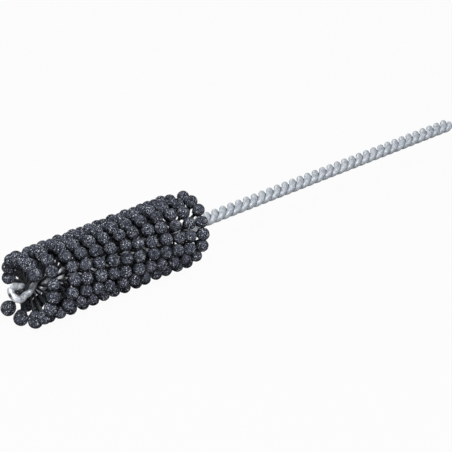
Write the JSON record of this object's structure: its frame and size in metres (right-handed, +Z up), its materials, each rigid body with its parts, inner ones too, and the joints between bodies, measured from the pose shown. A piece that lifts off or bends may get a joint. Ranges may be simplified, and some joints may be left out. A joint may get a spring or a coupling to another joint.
{
  "type": "flexible ball hone",
  "caption": "Twisted-wire shank with a spiral brush of flexible filaments, each tipped with an abrasive ball, for honing a small bore.",
  "frame": {"origin": "centre of the shank's cut end, on the tool's axis", "axes": "+X along the tool's axis, out of the shank's cut end, with the brush and eye towards -X; +Z up, with the tool lying level"},
  "size_m": [0.2032, 0.0222, 0.0222],
  "materials": {
    "steel_wire": "satin",
    "nylon": "satin",
    "abrasive": "matte"
  },
  "bodies": {
    "stem": {"core_wire": "steel_wire"},
    "filaments": {"filament_row_01": "nylon", "filament_row_02": "nylon", "filament_row_03": "nylon", "filament_row_04": "nylon", "filament_row_05": "nylon", "filament_row_06": "nylon", "filament_row_07": "nylon", "filament_row_08": "nylon", "filament_row_09": "nylon", "filament_row_10": "nylon", "filament_row_11": "nylon", "filament_row_12": "nylon", "filament_row_13": "nylon"},
    "ball_pack": {"ball_row_01": "abrasive", "ball_row_02": "abrasive", "ball_row_03": "abrasive", "ball_row_04": "abrasive", "ball_row_05": "abrasive", "ball_row_06": "abrasive", "ball_row_07": "abrasive", "ball_row_08": "abrasive", "ball_row_09": "abrasive", "ball_row_10": "abrasive", "ball_row_11": "abrasive", "ball_row_12": "abrasive", "ball_row_13": "abrasive"}
  },
  "joints": [
    {"name": "ball_trail", "type": "slide", "parent": "stem", "child": "filaments", "axis": [1, 0, 0], "range_m": [-0.0015, 0.0015], "stiffness_N_per_m": 300, "deforming": ["filament_row_01", "filament_row_02", "filament_row_03", "filament_row_04", "filament_row_05", "filament_row_06", "filament_row_07", "filament_row_08", "filament_row_09", "filament_row_10", "filament_row_11", "filament_row_12", "filament_row_13"]},
    {"name": "ball_lag", "type": "hinge", "parent": "filaments", "child": "ball_pack", "pos_m": [-0.16314, 0, 0], "axis": [1, 0, 0], "range_deg": [-8, 8], "stiffness_Nm_per_rad": 0.02, "deforming": ["filament_row_01", "filament_row_02", "filament_row_03", "filament_row_04", "filament_row_05", "filament_row_06", "filament_row_07", "filament_row_08", "filament_row_09", "filament_row_10", "filament_row_11", "filament_row_12", "filament_row_13"]}
  ]
}
